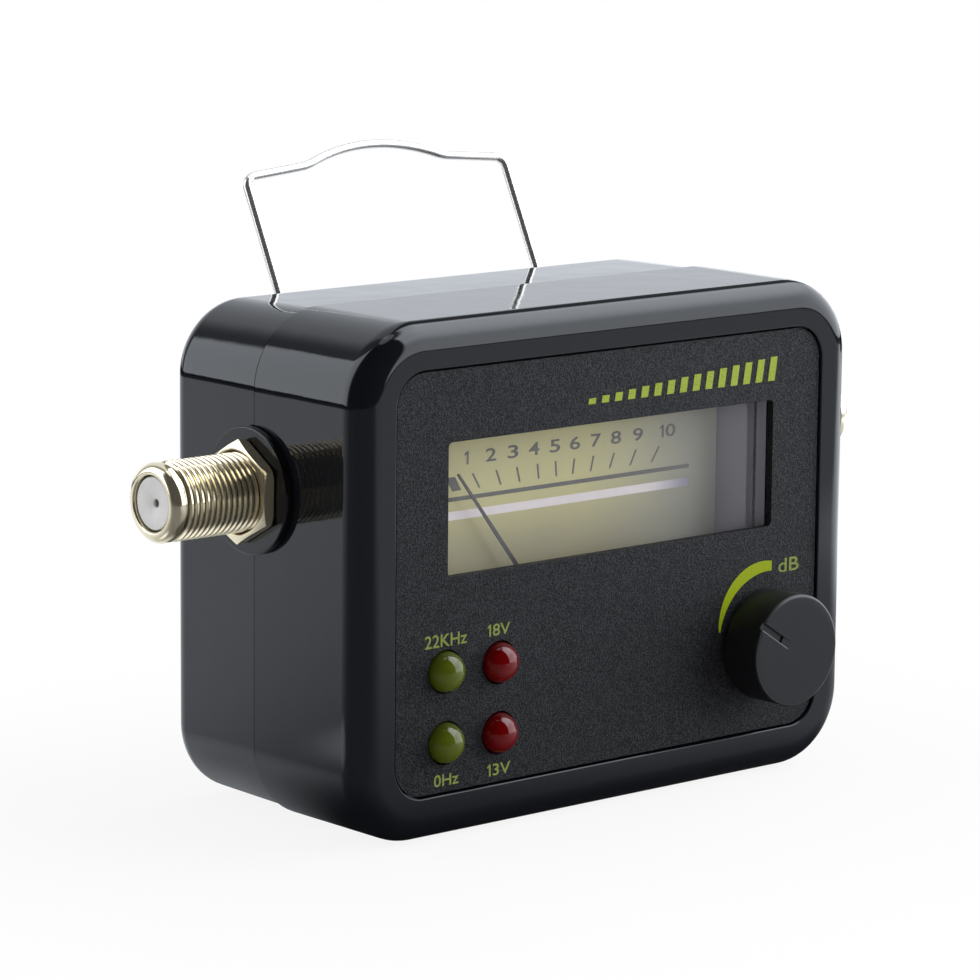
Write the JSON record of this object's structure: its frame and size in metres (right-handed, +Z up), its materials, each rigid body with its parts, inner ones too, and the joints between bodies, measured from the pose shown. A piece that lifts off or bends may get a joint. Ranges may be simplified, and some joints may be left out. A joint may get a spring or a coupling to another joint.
{
  "type": "satellite signal meter",
  "caption": "Pocket aerial-alignment meter: gloss black casing with a moving-coil dial, status lamps, gain knob, coaxial connectors at its sides and a folding wire bail.",
  "frame": {"origin": "centre of the casing's flat underside, halfway across its width and halfway through its depth", "axes": "+X to the right as the dial is read, -Y out of the front face, +Z up"},
  "size_m": [0.1106, 0.0538, 0.0777],
  "materials": {
    "casing": "high gloss black",
    "plate": "fine orange-peel texture",
    "clear_cover": "clear, polished",
    "meter_case": "satin black",
    "dial_card": "matt olive cream, printed scale",
    "needle": "dark lacquer",
    "copper": "enamelled copper",
    "bronze": "bright phosphor bronze",
    "soft_iron": "satin",
    "brass": "bright brass",
    "board": "solder-masked laminate",
    "green_lamp": "tinted epoxy",
    "red_lamp": "tinted epoxy",
    "control": "moulded",
    "shaft": "moulded",
    "knob": "satin black",
    "nickel": "champagne nickel plate on brass",
    "insulator": "white moulded dielectric",
    "washer": "smooth black",
    "screw_steel": "zinc plated",
    "wire": "bright wire",
    "component": "moulded epoxy",
    "sleeve": "shrink sleeve",
    "choke": "lacquered"
  },
  "bodies": {
    "casing": {"front_shell": "casing", "rear_shell": "casing", "front_plate": "plate", "meter_window": "clear_cover", "meter_case": "meter_case", "dial_card": "dial_card", "hairspring": "bronze", "magnet_core": "soft_iron", "magnet_ring": "soft_iron", "pivot_bridge": "brass", "meter_terminal_left": "brass", "meter_terminal_right": "brass", "main_board": "board", "led_green_upper": "green_lamp", "led_green_lower": "green_lamp", "led_red_upper": "red_lamp", "led_red_lower": "red_lamp", "gain_control": "control", "f_connector_left": "nickel", "f_connector_right": "nickel", "insulator_left": "insulator", "insulator_right": "insulator", "centre_contact_left": "brass", "centre_contact_right": "brass", "washer_left": "washer", "washer_right": "washer", "hex_nut_left": "nickel", "hex_nut_right": "nickel", "case_screw_left_upper": "screw_steel", "case_screw_right_upper": "screw_steel", "case_screw_left_lower": "screw_steel", "case_screw_right_lower": "screw_steel", "amplifier_chip": "component", "supply_regulator": "component", "filter_capacitor": "sleeve", "input_choke": "choke"},
    "needle": {"pointer_needle": "needle", "moving_coil": "copper"},
    "knob": {"gain_knob": "knob", "gain_shaft": "shaft"},
    "bail": {"bail": "wire"}
  },
  "joints": [
    {"name": "needle_swing", "type": "hinge", "parent": "casing", "child": "needle", "pos_m": [0, 0, 0.0169], "axis": [0, 1, 0], "range_deg": [0, 75.8], "stiffness_Nm_per_rad": 0.00002},
    {"name": "gain_turn", "type": "hinge", "parent": "casing", "child": "knob", "pos_m": [0.0253, 0, 0.0169], "axis": [0, 1, 0], "range_deg": [-93.2, 206.8]},
    {"name": "bail_swing", "type": "hinge", "parent": "casing", "child": "bail", "pos_m": [0, 0.0199, 0.0592], "axis": [1, 0, 0], "range_deg": [-155, 66]}
  ]
}
